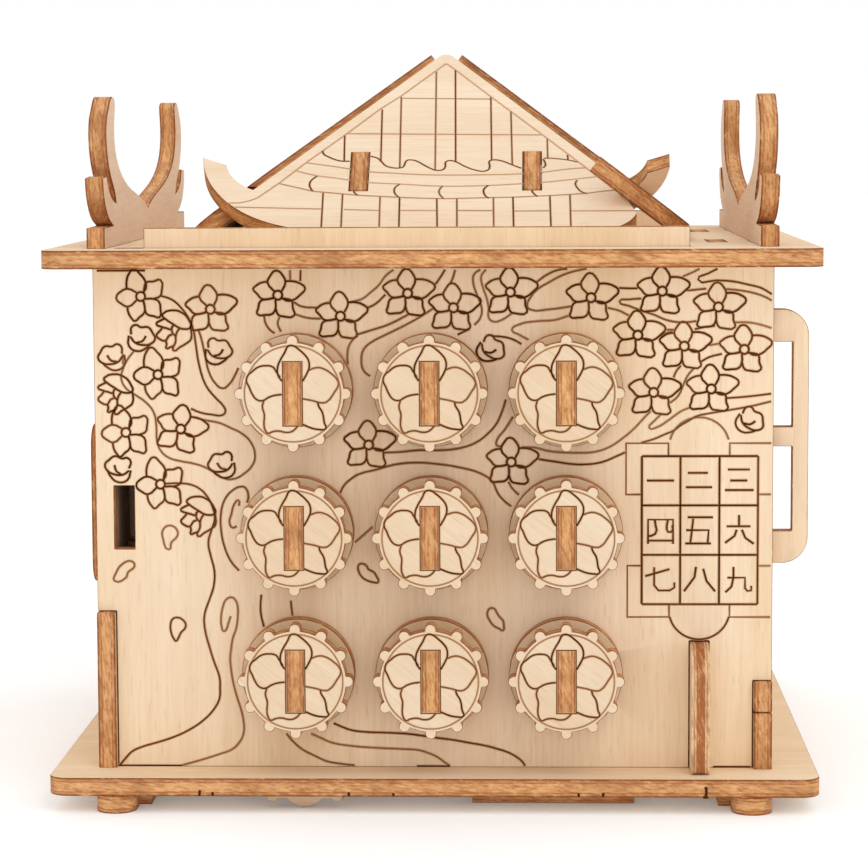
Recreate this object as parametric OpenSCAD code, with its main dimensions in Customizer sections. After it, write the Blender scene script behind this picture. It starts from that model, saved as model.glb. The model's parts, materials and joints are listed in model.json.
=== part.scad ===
/* [Plywood] */
// Thickness of every plywood piece
ply = 3.8; // [3:0.1:5]
// Gap left on each side of a tab in its slot
tab_gap = 0.2; // [0.1:0.05:0.3]
// Gap between pieces that slide or turn past each other
run_gap = 0.3; // [0.2:0.05:0.5]

/* [Plates] */
// Width of the top and base plates
plate_w = 160; // [155:1:200]
// Depth of the top and base plates
plate_d = 160; // [150:1:200]
// Corner radius of both plates
plate_r = 4; // [2:0.5:8]

/* [Body] */
// How far the plates reach past the side walls
overhang = 9.3; // [6:0.1:16]
// How far the front and back panels stand in from the plate edges
setback = 11.8; // [10:0.1:20]
// Height of the walls between the plates
wall_h = 105.5; // [88:0.5:130]
// From the left side of the box to the tab that rises through the top plate
tab_left = 10.8; // [8:0.1:30]
// From that tab to the right side of the box
tab_right = 17.4; // [14:0.1:30]
// How far that tab stands above the top plate
tab_rise = 4.2; // [1:0.1:5]
// Extra length of the tab's slot at its left end
tab_slot_extra = 6.2; // [0:0.1:7]
// Height of the left wall's front tab
left_tab_h = 33; // [15:1:40]
// Height of the right wall's lower front tab
right_tab_h = 11.8; // [6:0.1:18]
// Height of the right wall's upper front tab
right_tab2_h = 6.2; // [3:0.1:12]
// How far the wall tabs stand out of the front panel
tab_proud = 1.6; // [0:0.1:3]
// Gap between the right wall and the inner wall
inner_gap = 4.4; // [3:0.1:10]
// Length of each tab on the inner wall
inner_tab_l = 18; // [8:1:24]

/* [Key hole] */
// Width of the hole beside the left wall
keyhole_w = 4.3; // [3:0.1:8]
// Height of the hole
keyhole_h = 13.4; // [6:0.1:20]
// Height of the hole's centre above the base plate
keyhole_z = 53; // [45:0.5:65]

/* [Dials] */
// Radius of a dial without its lobes
dial_r = 10.55; // [8:0.05:13]
// Radius of each lobe on the rim
lobe_r = 1.15; // [0.8:0.05:1.6]
// Number of lobes on the rim
lobes = 12; // [6:1:16]
// Gap between the lobes of two dials side by side
dial_gap = 4; // [3:0.1:6]
// Sideways place of the middle column
dial_x = -0.3; // [-2:0.1:2]
// Radius of the washer behind each dial
washer_r = 11.8; // [10:0.1:12.8]
// Radius of the spacer between a dial and its washer
hub_r = 8; // [7:0.1:9]
// Radius of the journal that turns in the front panel
journal_r = 4.6; // [4:0.1:5.6]
// Height across the two flats of the journal
flat_h = 5.2; // [4:0.1:6.4]
// Height of the tab that shows in the middle of each dial
dial_tab_h = 13; // [8:0.1:15.6]
// Radius of the keeper behind each dial
keeper_r = 9; // [7:0.1:11]

/* [Lock slider] */
// Travel of the lock slider
slider_travel = 8; // [4:0.5:9.5]
// From the first dial column to the slider's left edge
slider_left = 15.4; // [8:0.1:18]
// From the lowest dial row to the slider's bottom edge
slider_below = 11.9; // [8:0.1:12]
// From the pull key's top to the grip
grip_above_key = 16.1; // [4:0.1:20]
// From the top plate down to the grip
grip_drop = 9.4; // [5:0.1:16]
// How far the grip stands out of the side
grip_out = 7.6; // [6:0.1:12]
// Height of the bars above and below the windows
grip_bar = 6.8; // [4:0.1:9]
// Height of the bar between the windows
grip_mid = 4.1; // [3:0.1:6]
// Width of the outer bar
grip_outer = 3.3; // [2:0.1:4]
// Corner radius of the grip
grip_r = 5.5; // [2:0.5:6]

/* [Side drawer] */
// Height of the drawer
drawer_h = 29.4; // [15:0.1:36]
// Height of the drawer's floor above the base plate
drawer_up = 38.4; // [34:0.1:44]
// How far the drawer's face reaches past the drawer above and below
face_over = 2.5; // [1:0.1:5]
// How far it reaches past the drawer in front and behind
face_side = 4.2; // [1:0.1:6]
// Corner radius of the drawer's face
drawer_face_r = 5; // [2:0.5:8]
// From the drawer's front side to the dial keepers
drawer_clear = 12.6; // [6:0.1:30]
// From the drawer's end to the inner wall
drawer_end_gap = 19.4; // [2:0.1:50]

/* [Pull key] */
// Gap between the pull key and the inner wall
key_gap = 1.3; // [0.5:0.1:3]
// Height of the pull key
key_h = 26.5; // [16:0.1:31.8]
// How far the key stands out of the front panel
key_out = 8; // [5:0.5:11]
// Length of the key inside the box
key_in = 74; // [64:1:89]
// Corner radius at the top of the key's front end
key_r = 7; // [4:0.5:8.5]

/* [Feet and bottom slider] */
// Width of a foot
foot_w = 10.8; // [9:0.1:14]
// Radius of the lobe at a foot's outer end
foot_lobe_r = 4.15; // [3:0.05:4.5]
// Length of a foot's block
foot_l = 14; // [10:1:20]
// Thickness of the bottom slider
bottom_t = 2.2; // [1.5:0.1:2.6]
// Gap between a foot and the bottom slider when it is pushed all the way
bottom_gap = 3.5; // [1:0.1:15]
// Depth of the bottom slider
bottom_d = 22; // [12:1:30]
// Travel of the bottom slider
bottom_travel = 18; // [8:1:22]
// Length of the bottom slider's wavy grip
wave_l = 15.8; // [10:0.1:20]
// From the base plate's front edge to the wavy grip
wave_in = 6; // [2:0.1:7]

/* [Wings] */
// How far each wing's outer face stands out past the side wall
wing_out = 0.85; // [-2:0.05:3]
// From each end of a wing to the edge of the top plate
wing_end = 9; // [4:0.5:20]
// Height of a wing
wing_h = 31.5; // [22:0.5:40]

/* [Roof] */
// Gap between the foot of the roof and a wing
roof_side_gap = 9.25; // [6:0.05:16]
// Gap between the foot of the roof and the tab of the front panel
roof_front_gap = 5.9; // [3:0.1:14]
// Sideways place of the roof
roof_x = 1.2; // [-2:0.1:2]
// Height of the roof's peak above the top plate
roof_rise = 44; // [36:0.5:53]
// Radius of the round peak
peak_r = 2; // [1:0.5:4]
// Radius of the curl's outer edge
curl_r = 27.2; // [22.6:0.1:32.8]
// From the roof's corner to the tip of the curl
curl_in = 6.1; // [5:0.1:9]
// From the roof's corner to each panel's cut end
cut_in = 16.3; // [14:0.1:20]
// Distance from the roof's middle to each rib
rib_x = 18.7; // [12:0.1:22.4]
// Sideways place of the ribs from the roof's middle
rib_off = 0.8; // [-1.5:0.1:1.5]
// Length of the rib tab that shows in the roof
rib_tab = 13.4; // [8:0.1:16.1]
// Place of the rib tab up the slope
rib_tab_v = 18.9; // [15.7:0.1:22.7]

/* [Hidden] */
$fn = 96;
dial_count = 9;

birch = "#EFD3AC";
birch_pale = "#F8E2C4";
birch_shade = "#D9BE9A";
burnt_edge = "#B9783F";

// How far a joined shape reaches into its neighbour, and a cutter past what it cuts
edge = 0.01;
over = 1;
// Gap between fixed pieces that only come near each other
near_gap = 0.4;

foot_t = ply;
base_z = foot_t;
floor_z = base_z + ply;
ceiling_z = floor_z + wall_h;
deck_z = ceiling_z + ply;
front_y = -plate_d/2 + setback;
front_in = front_y + ply;
back_in = -front_in;
side_x = plate_w/2 - overhang;
side_in = side_x - ply;
inner_wall_x = side_in - inner_gap - ply/2;
key_x = inner_wall_x - ply - key_gap;

// Dial columns stand a lobe's gap apart, and the rows are spaced as shares of the wall height
dial_reach = dial_r + lobe_r*1.25;
dial_dx = 2*dial_reach + dial_gap;
dial_dz = wall_h*0.2825;
dial_z = floor_z + wall_h*0.475;

// Lock slider plane, just behind the front panel
slider_y = front_in + tab_gap;
slider_back = slider_y + ply;
slider_x0 = dial_x - dial_dx - slider_left;
slider_z0 = dial_z - dial_dz - slider_below;
keeper_y = slider_back + tab_gap;
keeper_back = keeper_y + ply;
key_z = floor_z + tab_gap;
key_top = key_z + key_h;
lip_z = key_top + near_gap;
grip_bottom = key_top + grip_above_key;
grip_top = ceiling_z - grip_drop;
grip_h = grip_top - grip_bottom;

// Pieces behind the dial keepers start here
keeper_clear = 1.2;
inner_front = keeper_back + keeper_clear;
// Share of the way out to the inner wall's ends at which its tabs stand
inner_tab_y = -inner_front*0.625;
hub_y = front_y - ply - tab_gap;
face_y = hub_y - ply;
face_front = face_y - ply;

drawer_z = floor_z + drawer_up;
shelf_top = drawer_z - tab_gap;
opening_h = drawer_h + 2*run_gap + tab_gap;
drawer_w = 2*(-keeper_back - drawer_clear);
drawer_x1 = inner_wall_x - ply/2 - drawer_end_gap;

slide_z = base_z - near_gap - bottom_t;
slide_front = front_y + 2;
slide_back = slide_front + bottom_d;
// The guides' lips reach this far under the slider, this thick
guide_lip = 3;
guide_lip_t = 0.6;
bottom_l = 2*(side_x - near_gap - foot_w - bottom_travel - bottom_gap);
wave_x = -bottom_l/2 + 3.1;
wave_y = -plate_d/2 + wave_in;

wing_x = side_x + wing_out - ply/2;
wing_l = plate_d - 2*wing_end;
// Wing tabs stand at this share of the wing's length from its middle, and are this long
wing_tab_at = 0.28;
wing_tab_l = 14;

// The roof is square, and stands clear of the wings and of the front and back panels' tabs
roof_half = min(wing_x - ply/2 - roof_side_gap, -front_in - roof_front_gap);
pitch = atan2(roof_rise, roof_half);
slope_l = roof_half/cos(pitch);
panel_foot = ply/tan(pitch) + near_gap;
cut_end = roof_half - cut_in;
// Neighbouring panels meet in a fold, and their square edges stop where their inner corners touch
hip = atan2(slope_l, roof_half);
fold = acos(pow(cos(pitch), 2));
hip_drop = (ply*tan(fold/2) + near_gap/2)/cos(hip);
scoop_r = 12.5;
scoop_in = 23.7;
// How far the middle of the curl's scoop lies outside the panel's edge
scoop_out = 2.4;
scoop_y = slope_l*scoop_in/roof_half - hip_drop + scoop_out/cos(hip);
scoop_start = 180 + hip + asin(scoop_out/scoop_r);
// Up to this height a panel passes behind the next panel's curl
crossing_z = deck_z + (scoop_y + scoop_r*sin(scoop_start))*sin(pitch) + near_gap;

// Point t of the way along a Bezier curve with four control points
function bezier(p, t) = pow(1 - t, 3)*p[0] + 3*pow(1 - t, 2)*t*p[1] + 3*(1 - t)*t*t*p[2] + pow(t, 3)*p[3];
function curve(p, n = 8) = [for (i = [1:n]) bezier(p, i/n)];
function arc(x, y, r, a0, a1, n) = [for (i = [0:n]) [x + r*cos(a0 + (a1 - a0)*i/n), y + r*sin(a0 + (a1 - a0)*i/n)]];

// A box from one corner to the other
module block(low, high) {
    translate(low) cube(high - low);
}

// A rectangle with round corners, centred
module rounded(w, h, r) {
    square([w - 2*r, h], center = true);
    square([w, h - 2*r], center = true);
    for (x = [-1, 1]) {
        for (y = [-1, 1]) {
            translate([x*(w/2 - r), y*(h/2 - r)]) circle(r);
        }
    }
}

// Stands a flat outline up, facing the front: x stays, y becomes height
module stand_front(y, t = ply) {
    translate([0, y + t, 0]) rotate([90, 0, 0]) linear_extrude(t) children();
}

// Stands a flat outline up, facing the side: x becomes depth, y becomes height
module stand_side(x, t = ply) {
    translate([x, 0, 0]) rotate([90, 0, 90]) linear_extrude(t) children();
}

module turned(x, z, y0, y1, r) {
    translate([x, y1, z]) rotate([90, 0, 0]) cylinder(h = y1 - y0, r = r);
}

function dial_at(i) = [dial_x + ((i - 1) % 3 - 1)*dial_dx, dial_z + (1 - floor((i - 1)/3))*dial_dz];

// ---------------------------------------------------------------- plates

module base_plate() {
    color(birch) translate([0, 0, base_z]) linear_extrude(ply) rounded(plate_w, plate_d, plate_r);
}

module top_plate() {
    color(birch) difference() {
        translate([0, 0, ceiling_z]) linear_extrude(ply) rounded(plate_w, plate_d, plate_r);
        tab_slot(front_y);
        tab_slot(back_in);
        for (s = [-1, 1]) {
            for (y = [-1, 1]) {
                wing_tab(s, y, tab_gap, edge);
            }
            inner_tab(s, tab_gap, edge);
        }
    }
}

module tab_slot(y) {
    block([-side_x + tab_left - tab_slot_extra, y - tab_gap, ceiling_z - edge],
          [side_x - tab_right + tab_gap, y + ply + tab_gap, deck_z + edge]);
}

module wing_tab(side, end, gap = 0, past = 0) {
    mid = end*wing_l*wing_tab_at;
    block([side*wing_x - ply/2 - gap, mid - wing_tab_l/2 - gap, ceiling_z - past],
          [side*wing_x + ply/2 + gap, mid + wing_tab_l/2 + gap, deck_z + past]);
}

module inner_tab(end, gap = 0, past = 0) {
    mid = end*inner_tab_y;
    block([inner_wall_x - ply/2 - gap, mid - inner_tab_l/2 - gap, ceiling_z - past],
          [inner_wall_x + ply/2 + gap, mid + inner_tab_l/2 + gap, deck_z + past]);
}

// ---------------------------------------------------------------- panels and walls

module panel_blank(y) {
    block([-side_x, y, floor_z], [side_x, y + ply, ceiling_z]);
    block([-side_x + tab_left, y, ceiling_z - edge], [side_x - tab_right, y + ply, deck_z + tab_rise]);
}

// Front tabs of the left and right walls
module left_tab(gap = 0) {
    block([-side_x - gap, front_y - tab_proud, floor_z - gap],
          [-side_in + gap, front_in + edge, floor_z + left_tab_h + gap]);
}

module right_tabs(gap = 0) {
    block([side_in - gap, front_y - tab_proud, floor_z - gap],
          [side_x + gap, front_in + edge, floor_z + right_tab_h + gap]);
    upper = floor_z + right_tab_h + tab_gap*2;
    block([side_in - gap, front_y - tab_proud, upper - gap],
          [side_x + gap, front_in + edge, upper + right_tab2_h + gap]);
}

module front_panel() {
    color(birch) difference() {
        panel_blank(front_y);
        left_tab(tab_gap);
        right_tabs(tab_gap);
        block([-side_in - edge, front_y - over, floor_z + keyhole_z - keyhole_h/2],
              [-side_in + keyhole_w, front_in + over, floor_z + keyhole_z + keyhole_h/2]);
        block([key_x - ply/2 - tab_gap, front_y - over, floor_z - over],
              [key_x + ply/2 + tab_gap, front_in + over, key_top + run_gap]);
        for (i = [1:dial_count]) {
            turned(dial_at(i)[0], dial_at(i)[1], front_y - over, front_in + over, journal_r + run_gap);
        }
    }
}

module back_panel() {
    color(birch) panel_blank(back_in);
}

module left_wall() {
    color(birch_shade) {
        difference() {
            block([-side_x, front_in, floor_z], [-side_in, back_in, ceiling_z]);
            block([-side_x - over, -drawer_w/2 - run_gap, shelf_top],
                  [-side_in + over, drawer_w/2 + run_gap, shelf_top + opening_h]);
        }
        left_tab();
    }
}

module right_wall() {
    color(birch_shade) {
        difference() {
            block([side_in, front_in, floor_z], [side_x, back_in, ceiling_z]);
            block([side_in - over, front_in - over, grip_bottom - run_gap],
                  [side_x + over, slider_back + run_gap, grip_top + run_gap]);
        }
        right_tabs();
    }
}

module inner_wall() {
    color(birch_shade) {
        block([inner_wall_x - ply/2, inner_front, floor_z], [inner_wall_x + ply/2, back_in, ceiling_z]);
        for (s = [-1, 1]) {
            inner_tab(s);
        }
    }
}

// ---------------------------------------------------------------- wings

// Front half of the outline, from the foot up over the horn to the middle of the cradle.
// It is drawn for one height and stretched to the wing's own
drawn_h = 31.5;
function wing_half() = let (e = -wing_l/2) concat(
    [[e + 1, 0], [e + 1, 4.3], [e + 14.4, 4.4]],
    curve([[e + 14.4, 4.7], [e + 7.5, 5], [e, 9], [e, 14.6]]),
    [[e + 5.6, 14.9]],
    curve([[e + 5.6, 14.9], [e + 6.5, 11.5], [e + 12, 9.8], [e + 19.4, 9]]),
    curve([[e + 19.4, 9], [e + 17.5, 13], [e + 10.5, 13.5], [e + 6.8, 19.5]]),
    curve([[e + 6.8, 19.5], [e + 5, 22.5], [e + 5.5, 25.5], [e + 7.2, 27.2]], 6),
    curve([[e + 7.2, 27.2], [e + 10.4, 29.2], [e + 12, 31.4], [e + 15, drawn_h]], 6),
    curve([[e + 15, drawn_h], [e + 18.4, drawn_h], [e + 19.6, 30.6], [e + 18.6, 28.6]], 6),
    curve([[e + 18.6, 28.6], [e + 15.5, 22.5], [e + 17.5, 17.4], [e + 33, 13.6]], 10),
    curve([[e + 33, 13.6], [e + 46, 10.4], [-12, 10.4], [0, 6.9]], 10));

module wing(side) {
    half = [for (p = wing_half()) [p[0], p[1]*wing_h/drawn_h]];
    last = len(half) - 2;
    color(birch_shade) {
        translate([0, 0, deck_z]) stand_side(side*wing_x - ply/2) {
            polygon(concat(half, [for (i = [last:-1:0]) [-half[i][0], half[i][1]]]));
        }
        for (end = [-1, 1]) {
            wing_tab(side, end);
        }
    }
}

module wing_left() {
    wing(-1);
}

module wing_right() {
    wing(1);
}

// ---------------------------------------------------------------- feet

module foot_outline() {
    outer = side_x - near_gap;
    lobe_y = plate_d/2 - foot_lobe_r - near_gap/2;
    neck = 0.8;
    translate([outer - foot_w, lobe_y - foot_l]) square([foot_w, foot_l - foot_lobe_r - neck]);
    translate([outer - 2*foot_lobe_r, lobe_y - foot_l]) square([2*foot_lobe_r, foot_l]);
    translate([outer - foot_lobe_r, lobe_y]) circle(foot_lobe_r);
}

module feet() {
    color(burnt_edge) for (x = [0, 1]) {
        for (y = [0, 1]) {
            mirror([x, 0, 0]) mirror([0, y, 0]) linear_extrude(foot_t) foot_outline();
        }
    }
}

// ---------------------------------------------------------------- dials

module dial_face(i) {
    at = dial_at(i);
    color(birch) difference() {
        union() {
            turned(at[0], at[1], face_front, face_y, dial_r);
            for (k = [0:lobes - 1]) {
                reach = dial_r + lobe_r/4;
                turned(at[0] + reach*sin(k*360/lobes), at[1] + reach*cos(k*360/lobes), face_front, face_y, lobe_r);
            }
        }
        dial_tab(i, tab_gap/2, over);
    }
}

module dial_tab(i, gap = 0, past = 0) {
    at = dial_at(i);
    block([at[0] - ply/2 - gap, face_front - past, at[1] - dial_tab_h/2 - gap],
          [at[0] + ply/2 + gap, face_y + max(past, edge), at[1] + dial_tab_h/2 + gap]);
}

// The shaft's end, square where the keeper holds it
module shaft_end(i, y0, y1, half_w) {
    at = dial_at(i);
    block([at[0] - half_w, y0, at[1] - flat_h/2], [at[0] + half_w, y1, at[1] + flat_h/2]);
}

module dial_shaft(i) {
    at = dial_at(i);
    square_half = min(flat_h/2, journal_r*cos(45));
    color(burnt_edge) {
        dial_tab(i);
        turned(at[0], at[1], face_y, hub_y, hub_r);
        turned(at[0], at[1], hub_y - edge, front_in, journal_r);
        intersection() {
            turned(at[0], at[1], front_in - edge, keeper_y, journal_r);
            shaft_end(i, front_in - over, keeper_y + over, journal_r);
        }
        shaft_end(i, keeper_y - edge, keeper_back, square_half);
    }
}

module dial_keeper(i) {
    at = dial_at(i);
    square_half = min(flat_h/2, journal_r*cos(45));
    color(birch_shade) difference() {
        turned(at[0], at[1], keeper_y, keeper_back, keeper_r);
        shaft_end(i, keeper_y - over, keeper_back + over, square_half);
    }
}

module dial_washers() {
    color(birch_shade) for (i = [1:dial_count]) {
        at = dial_at(i);
        difference() {
            turned(at[0], at[1], front_y - ply, front_y, washer_r);
            turned(at[0], at[1], front_y - ply - over, front_y + over, journal_r + run_gap);
        }
    }
}

// ---------------------------------------------------------------- lock slider

// The slider's plate, with the lip that runs over the pull key and the grip outside the wall
module slider_outline() {
    key_left = key_x - ply/2 - run_gap;
    grip_x = side_x + grip_out;
    window_h = (grip_h - 2*grip_bar - grip_mid)/2;
    window_x = side_in - near_gap;
    difference() {
        union() {
            translate([slider_x0, slider_z0]) square([key_left - slider_travel - slider_x0, grip_top - slider_z0]);
            translate([slider_x0, lip_z]) square([key_left - slider_x0, grip_bottom - lip_z + over]);
            translate([slider_x0, grip_bottom]) square([grip_x - grip_r - slider_x0, grip_h]);
            translate([side_x, grip_bottom + grip_r]) square([grip_out, grip_h - 2*grip_r]);
            for (z = [grip_bottom + grip_r, grip_top - grip_r]) {
                translate([grip_x - grip_r, z]) circle(grip_r);
            }
        }
        for (k = [0, 1]) {
            translate([window_x, grip_bottom + grip_bar + k*(window_h + grip_mid)])
                square([grip_x - grip_outer - window_x, window_h]);
        }
        for (i = [1:dial_count]) {
            translate(dial_at(i)) {
                circle(journal_r + run_gap);
                translate([-slider_travel - journal_r - run_gap, -flat_h/2 - run_gap])
                    square([slider_travel + journal_r, flat_h + 2*run_gap]);
            }
        }
    }
}

module lock_slider() {
    color(birch) stand_front(slider_y) slider_outline();
}

module slider_rails() {
    left = slider_x0 - slider_travel;
    right = key_x - 2*ply - near_gap - slider_travel;
    color(birch_shade) {
        block([left, front_in, grip_top + run_gap], [side_in, slider_back, ceiling_z]);
        block([left, front_in, floor_z], [right, slider_back, slider_z0 - run_gap]);
    }
}

// ---------------------------------------------------------------- side drawer

module drawer_shelf() {
    color(birch_shade) block([-side_in, inner_front, shelf_top - ply], [inner_wall_x - ply/2, back_in, shelf_top]);
}

module drawer_guides() {
    color(birch_shade) for (s = [0, 1]) {
        mirror([0, s, 0]) block([-side_in, drawer_w/2 + run_gap, shelf_top],
                                [drawer_x1, drawer_w/2 + run_gap + ply, shelf_top + 2*ply]);
    }
}

module drawer_face() {
    color(burnt_edge) translate([0, 0, drawer_z + drawer_h/2])
        stand_side(-side_x - tab_gap - ply)
            rounded(drawer_w + 2*face_side, drawer_h + 2*face_over, drawer_face_r);
}

module drawer_floor() {
    color(birch) block([-side_x - tab_gap, -drawer_w/2, drawer_z], [drawer_x1, drawer_w/2, drawer_z + ply]);
}

module drawer_side(end) {
    color(birch) translate([0, end*(drawer_w - ply)/2, 0])
        block([-side_x - tab_gap, -ply/2, drawer_z + ply], [drawer_x1, ply/2, drawer_z + drawer_h]);
}

module drawer_side_front() {
    drawer_side(-1);
}

module drawer_side_back() {
    drawer_side(1);
}

module drawer_end() {
    color(birch) block([drawer_x1 - ply, -drawer_w/2 + ply, drawer_z + ply],
                       [drawer_x1, drawer_w/2 - ply, drawer_z + drawer_h]);
}

// ---------------------------------------------------------------- pull key

module pull_key() {
    tip = front_y - key_out;
    back = front_y + key_in;
    toe_r = 1;
    color(burnt_edge) stand_side(key_x - ply/2) polygon(concat(
        [[back, key_z], [back, key_top]],
        arc(tip + key_r, key_top - key_r, key_r, 90, 180, 12),
        arc(tip + toe_r, key_z + toe_r, toe_r, 180, 270, 4)));
}

module key_guide() {
    guide_l = 50;
    guide_h = 12;
    right = key_x - ply/2 - run_gap;
    color(birch_shade) block([right - ply, inner_front, floor_z], [right, inner_front + guide_l, floor_z + guide_h]);
}

// ---------------------------------------------------------------- bottom slider

// A tongue reaches forward to the wavy grip
module bottom_slider() {
    color(birch_shade) union() {
        block([-bottom_l/2, slide_front, slide_z], [bottom_l/2, slide_back, slide_z + bottom_t]);
        block([wave_x, wave_y + ply, slide_z], [wave_x + wave_l, slide_front + edge, slide_z + bottom_t]);
    }
}

// Three hanging lobes, the middle one lowest
module bottom_grip() {
    top = base_z - near_gap;
    low = slide_z - guide_lip_t - tab_gap;
    rail = 1.35;
    mid_r = 4.9;
    side_r = 1.2;
    side_drop = 0.95;
    color(burnt_edge) stand_front(wave_y) intersection() {
        translate([wave_x, low]) square([wave_l, top - low]);
        union() {
            translate([wave_x, top - rail]) square([wave_l, rail]);
            translate([wave_x + wave_l/2, low + edge + mid_r]) circle(mid_r);
            for (x = [side_r - edge, wave_l - side_r + edge]) {
                translate([wave_x + x, low + side_drop + side_r]) circle(side_r);
            }
        }
    }
}

module guide(x0, x1, back) {
    y = back ? slide_back + run_gap : slide_front - run_gap;
    low = slide_z - guide_lip_t - tab_gap;
    block([x0, min(y, y + (back ? ply : -ply)), low], [x1, max(y, y + (back ? ply : -ply)), base_z]);
    block([x0, y - (back ? guide_lip : edge), low], [x1, y + (back ? edge : guide_lip), low + guide_lip_t]);
}

module bottom_guides() {
    // The front guide starts where the wavy grip stops at the end of its travel
    grip_end = wave_x + wave_l + bottom_travel + 9.1;
    color(burnt_edge) {
        guide(-bottom_l/2, bottom_l/2, true);
        guide(grip_end, bottom_l/2 + 4, false);
    }
}

// ---------------------------------------------------------------- roof

// Frame of one roof face: x along its foot, y up the slope, z out of its face
module on_slope(i) {
    rotate([0, 0, 90*i]) translate([0, -roof_half, deck_z]) rotate([pitch, 0, 0]) children();
}

// Outline of one roof panel, with the curl at its left end and the cut at its right end
module roof_outline() {
    curl_x = roof_half - curl_in - curl_r;
    cut_r = 8;
    // The cut end stands up this far, then leans back this far to meet the hip
    cut_h = 4.1;
    cut_lean = 6.1;
    difference() {
        polygon(concat(
            [[cut_end, panel_foot]],
            [[cut_end, panel_foot + cut_h]],
            [[cut_end - cut_lean, slope_l*(cut_in + cut_lean)/roof_half - hip_drop]],
            arc(0, slope_l - hip_drop - peak_r/cos(hip), peak_r, 90 - hip, 90 + hip, 10),
            arc(scoop_in - roof_half, scoop_y, scoop_r, scoop_start, 190, 10),
            arc(-curl_x, panel_foot + curl_r, curl_r, 184, 270, 24)));
        translate([cut_end - cut_r, panel_foot]) difference() {
            translate([0, -over]) square([cut_r + over, cut_r + over]);
            translate([0, cut_r]) circle(cut_r);
        }
    }
}

// All that lies outside a roof face's inner surface, up to a height
module beyond(i, high) {
    far = 2*plate_w;
    intersection() {
        on_slope(i) translate([-far, -far, -ply - tab_gap/2]) cube([2*far, 2*far, far]);
        block([-far, -far, 0], [far, far, high]);
    }
}

module roof_blank(i) {
    on_slope(i) translate([0, 0, -ply]) linear_extrude(ply) roof_outline();
}

module rib_slots(i) {
    middle = i == 0 ? rib_off : -rib_off;
    on_slope(i) for (s = [-1, 1]) {
        translate([middle + s*rib_x - ply/2 - tab_gap, rib_tab_v - tab_gap, -ply - over])
            cube([ply + 2*tab_gap, rib_tab + 2*tab_gap, ply + 2*over]);
    }
}

// Each panel's cut end stops behind the next panel, whose curl passes in front of it
module roof_panel(i) {
    difference() {
        roof_blank(i);
        beyond(i + 1, crossing_z + tab_gap);
    }
}

module ribbed_panel(i) {
    color(birch_pale) translate([roof_x, 0, 0]) difference() {
        roof_panel(i);
        rib_slots(i);
    }
}

module plain_panel(i) {
    color(birch_pale) translate([roof_x, 0, 0]) roof_panel(i);
}

module roof_front() {
    ribbed_panel(0);
}

module roof_right() {
    plain_panel(1);
}

module roof_back() {
    ribbed_panel(2);
}

module roof_left() {
    plain_panel(3);
}

// Half a rib: it stands on the top plate, and its tab passes through the slope
module rib_half() {
    foot = deck_z + near_gap;
    top = (rib_tab_v + rib_tab)*sin(pitch);
    back = ply/cos(pitch);
    run = -roof_half + (back + near_gap)/tan(pitch);
    rise = -roof_half + (back + top)/tan(pitch);
    proud = 0.3;
    stand_side(-ply/2) polygon([[run, foot], [edge, foot], [edge, deck_z + top], [rise, deck_z + top]]);
    on_slope(0) translate([-ply/2, rib_tab_v, -ply - near_gap]) cube([ply, rib_tab - tab_gap/2, ply + near_gap + proud]);
}

module roof_ribs() {
    color(burnt_edge) for (s = [-1, 1]) {
        translate([roof_x + rib_off + s*rib_x, 0, 0]) {
            rib_half();
            mirror([0, 1, 0]) rib_half();
        }
    }
}

// ---------------------------------------------------------------- assembly

base_plate();
top_plate();
front_panel();
back_panel();
left_wall();
right_wall();
inner_wall();
feet();
wing_left();
wing_right();
dial_washers();
slider_rails();
drawer_shelf();
drawer_guides();
key_guide();
bottom_guides();
lock_slider();
drawer_face();
drawer_floor();
drawer_side_front();
drawer_side_back();
drawer_end();
pull_key();
bottom_slider();
bottom_grip();
roof_front();
roof_right();
roof_back();
roof_left();
roof_ribs();
for (i = [1:dial_count]) {
    dial_face(i);
    dial_shaft(i);
    dial_keeper(i);
}
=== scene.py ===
"""Looks of a laser-cut birch plywood puzzle box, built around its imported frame."""

import json
from math import atan2, cos, pi, radians, sin

import bmesh
import bpy
from bpy.props import FloatProperty, FloatVectorProperty, PointerProperty
from bpy.types import Operator, Panel, PropertyGroup
from mathutils import Matrix, Vector

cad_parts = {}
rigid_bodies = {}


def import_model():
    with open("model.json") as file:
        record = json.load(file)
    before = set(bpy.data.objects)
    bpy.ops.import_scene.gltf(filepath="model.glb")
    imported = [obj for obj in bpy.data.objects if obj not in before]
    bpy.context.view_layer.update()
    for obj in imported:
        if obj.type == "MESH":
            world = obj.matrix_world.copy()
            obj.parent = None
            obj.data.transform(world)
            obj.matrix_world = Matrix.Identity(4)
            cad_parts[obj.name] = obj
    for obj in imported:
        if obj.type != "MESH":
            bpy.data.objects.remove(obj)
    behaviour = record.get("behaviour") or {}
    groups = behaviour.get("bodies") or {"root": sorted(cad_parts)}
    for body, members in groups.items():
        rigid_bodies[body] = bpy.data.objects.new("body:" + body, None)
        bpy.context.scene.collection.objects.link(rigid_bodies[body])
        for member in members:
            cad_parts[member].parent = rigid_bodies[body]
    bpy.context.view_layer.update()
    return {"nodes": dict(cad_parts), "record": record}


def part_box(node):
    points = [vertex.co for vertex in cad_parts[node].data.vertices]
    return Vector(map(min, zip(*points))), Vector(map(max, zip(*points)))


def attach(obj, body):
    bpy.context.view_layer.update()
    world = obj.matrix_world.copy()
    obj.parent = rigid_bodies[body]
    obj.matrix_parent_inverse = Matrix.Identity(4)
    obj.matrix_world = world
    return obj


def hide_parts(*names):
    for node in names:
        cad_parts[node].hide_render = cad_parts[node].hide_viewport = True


bl_info = {
    "name": "Plywood puzzle box",
    "version": (1, 0, 0),
    "blender": (4, 5, 0),
    "location": "View3D > Sidebar > Puzzle box",
    "description": "Builds the veneer, the laser-cut edges and the engraving of a puzzle box",
    "category": "Object",
}

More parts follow.
